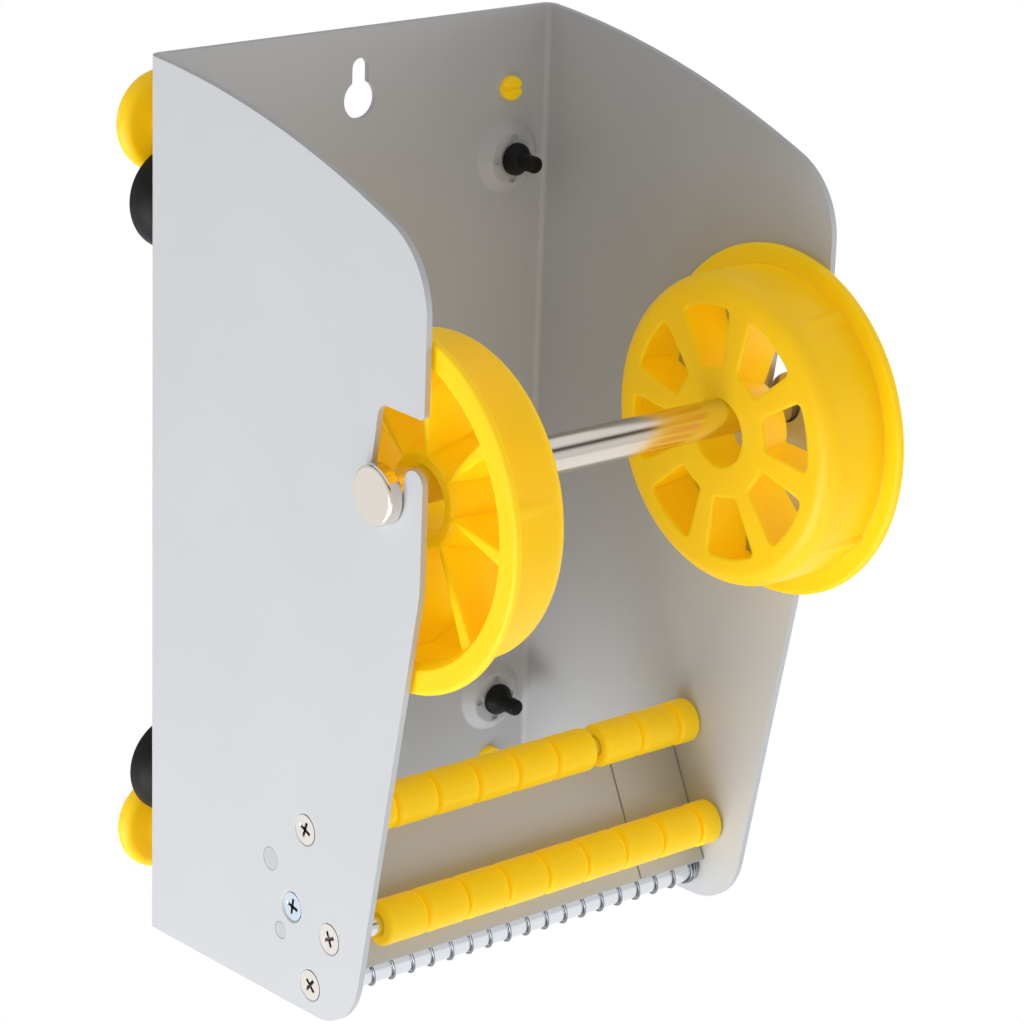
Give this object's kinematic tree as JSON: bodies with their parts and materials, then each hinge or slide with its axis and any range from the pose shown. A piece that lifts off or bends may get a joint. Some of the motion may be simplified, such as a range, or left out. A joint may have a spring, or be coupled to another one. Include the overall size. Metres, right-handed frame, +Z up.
{
  "type": "label dispenser",
  "caption": "Wall-hung label dispenser: bent sheet housing, lift-out spindle with core hubs, segmented guide rollers, a sloped peel plate and a spring-wound peel bar.",
  "frame": {"origin": "centre of the keyhole's round hole, on the outer back face of the housing", "axes": "+X across the dispenser to its right as seen from the front, +Y into the wall, +Z up"},
  "size_m": [0.1278, 0.1519, 0.22],
  "materials": {
    "painted_sheet": "satin silver-grey powder coat",
    "painted_plate": "satin silver-grey powder coat",
    "painted_rivet": "satin",
    "zinc": "bright zinc plate",
    "blue_zinc": "blue zinc plate",
    "nickel": "nickel plate",
    "chrome": "polished nickel",
    "yellow_plastic": "smooth matte",
    "black_rubber": "matte"
  },
  "bodies": {
    "housing": {"housing": "painted_sheet", "peel_plate": "painted_plate", "peel_plate_end": "painted_plate", "ear_rivets": "painted_rivet", "stay_bar": "zinc", "stay_screws": "blue_zinc", "axle_screws": "nickel", "upper_axle": "zinc", "lower_axle": "zinc", "upper_collar_left": "yellow_plastic", "upper_collar_right": "yellow_plastic", "lower_collar_left": "yellow_plastic", "lower_collar_right": "yellow_plastic", "peel_bar": "zinc", "peel_spring": "zinc", "cup_upper_left": "black_rubber", "cup_upper_right": "black_rubber", "cup_lower_left": "black_rubber", "cup_lower_right": "black_rubber"},
    "spindle": {"spindle_rod": "chrome", "left_cap": "chrome", "right_cap": "chrome"},
    "left_hub": {"left_hub": "yellow_plastic"},
    "right_hub": {"right_hub": "yellow_plastic"},
    "upper_sleeve_1": {"upper_sleeve_1": "yellow_plastic"},
    "upper_sleeve_2": {"upper_sleeve_2": "yellow_plastic"},
    "upper_sleeve_3": {"upper_sleeve_3": "yellow_plastic"},
    "upper_sleeve_4": {"upper_sleeve_4": "yellow_plastic"},
    "upper_sleeve_5": {"upper_sleeve_5": "yellow_plastic"},
    "upper_sleeve_6": {"upper_sleeve_6": "yellow_plastic"},
    "upper_sleeve_7": {"upper_sleeve_7": "yellow_plastic"},
    "upper_sleeve_8": {"upper_sleeve_8": "yellow_plastic"},
    "lower_sleeve_1": {"lower_sleeve_1": "yellow_plastic"},
    "lower_sleeve_2": {"lower_sleeve_2": "yellow_plastic"},
    "lower_sleeve_3": {"lower_sleeve_3": "yellow_plastic"},
    "lower_sleeve_4": {"lower_sleeve_4": "yellow_plastic"},
    "lower_sleeve_5": {"lower_sleeve_5": "yellow_plastic"},
    "lower_sleeve_6": {"lower_sleeve_6": "yellow_plastic"},
    "lower_sleeve_7": {"lower_sleeve_7": "yellow_plastic"},
    "lower_sleeve_8": {"lower_sleeve_8": "yellow_plastic"},
    "foot_upper_left": {"foot_upper_left": "yellow_plastic"},
    "foot_upper_right": {"foot_upper_right": "yellow_plastic"},
    "foot_lower_left": {"foot_lower_left": "yellow_plastic"},
    "foot_lower_right": {"foot_lower_right": "yellow_plastic"}
  },
  "joints": [
    {"name": "spindle_lift", "type": "slide", "parent": "housing", "child": "spindle", "axis": [0, -0.1564, 0.9877], "range_m": [0, 0.014]},
    {"name": "left_hub_spin", "type": "hinge", "parent": "spindle", "child": "left_hub", "pos_m": [-0.048, -0.0929, -0.06598], "axis": [1, 0, 0], "continuous": true},
    {"name": "right_hub_spin", "type": "hinge", "parent": "spindle", "child": "right_hub", "pos_m": [0.048, -0.0929, -0.06598], "axis": [1, 0, 0], "continuous": true},
    {"name": "upper_sleeve_1_spin", "type": "hinge", "parent": "housing", "child": "upper_sleeve_1", "pos_m": [0, -0.0653, -0.1527], "axis": [1, 0, 0], "continuous": true},
    {"name": "upper_sleeve_2_spin", "type": "hinge", "parent": "housing", "child": "upper_sleeve_2", "pos_m": [0, -0.0653, -0.1527], "axis": [1, 0, 0], "continuous": true},
    {"name": "upper_sleeve_3_spin", "type": "hinge", "parent": "housing", "child": "upper_sleeve_3", "pos_m": [0, -0.0653, -0.1527], "axis": [1, 0, 0], "continuous": true},
    {"name": "upper_sleeve_4_spin", "type": "hinge", "parent": "housing", "child": "upper_sleeve_4", "pos_m": [0, -0.0653, -0.1527], "axis": [1, 0, 0], "continuous": true},
    {"name": "upper_sleeve_5_spin", "type": "hinge", "parent": "housing", "child": "upper_sleeve_5", "pos_m": [0, -0.0653, -0.1527], "axis": [1, 0, 0], "continuous": true},
    {"name": "upper_sleeve_6_spin", "type": "hinge", "parent": "housing", "child": "upper_sleeve_6", "pos_m": [0, -0.0653, -0.1527], "axis": [1, 0, 0], "continuous": true},
    {"name": "upper_sleeve_7_spin", "type": "hinge", "parent": "housing", "child": "upper_sleeve_7", "pos_m": [0, -0.0653, -0.1527], "axis": [1, 0, 0], "continuous": true},
    {"name": "upper_sleeve_8_spin", "type": "hinge", "parent": "housing", "child": "upper_sleeve_8", "pos_m": [0, -0.0653, -0.1527], "axis": [1, 0, 0], "continuous": true},
    {"name": "lower_sleeve_1_spin", "type": "hinge", "parent": "housing", "child": "lower_sleeve_1", "pos_m": [0, -0.07531, -0.17671], "axis": [1, 0, 0], "continuous": true},
    {"name": "lower_sleeve_2_spin", "type": "hinge", "parent": "housing", "child": "lower_sleeve_2", "pos_m": [0, -0.07531, -0.17671], "axis": [1, 0, 0], "continuous": true},
    {"name": "lower_sleeve_3_spin", "type": "hinge", "parent": "housing", "child": "lower_sleeve_3", "pos_m": [0, -0.07531, -0.17671], "axis": [1, 0, 0], "continuous": true},
    {"name": "lower_sleeve_4_spin", "type": "hinge", "parent": "housing", "child": "lower_sleeve_4", "pos_m": [0, -0.07531, -0.17671], "axis": [1, 0, 0], "continuous": true},
    {"name": "lower_sleeve_5_spin", "type": "hinge", "parent": "housing", "child": "lower_sleeve_5", "pos_m": [0, -0.07531, -0.17671], "axis": [1, 0, 0], "continuous": true},
    {"name": "lower_sleeve_6_spin", "type": "hinge", "parent": "housing", "child": "lower_sleeve_6", "pos_m": [0, -0.07531, -0.17671], "axis": [1, 0, 0], "continuous": true},
    {"name": "lower_sleeve_7_spin", "type": "hinge", "parent": "housing", "child": "lower_sleeve_7", "pos_m": [0, -0.07531, -0.17671], "axis": [1, 0, 0], "continuous": true},
    {"name": "lower_sleeve_8_spin", "type": "hinge", "parent": "housing", "child": "lower_sleeve_8", "pos_m": [0, -0.07531, -0.17671], "axis": [1, 0, 0], "continuous": true},
    {"name": "foot_upper_left_thread", "type": "slide", "parent": "housing", "child": "foot_upper_left", "axis": [0, 1, 0], "range_m": [-0.0022, 0.0015]},
    {"name": "foot_upper_right_thread", "type": "slide", "parent": "housing", "child": "foot_upper_right", "axis": [0, 1, 0], "range_m": [-0.0022, 0.0015]},
    {"name": "foot_lower_left_thread", "type": "slide", "parent": "housing", "child": "foot_lower_left", "axis": [0, 1, 0], "range_m": [-0.0022, 0.0015]},
    {"name": "foot_lower_right_thread", "type": "slide", "parent": "housing", "child": "foot_lower_right", "axis": [0, 1, 0], "range_m": [-0.0022, 0.0015]}
  ]
}
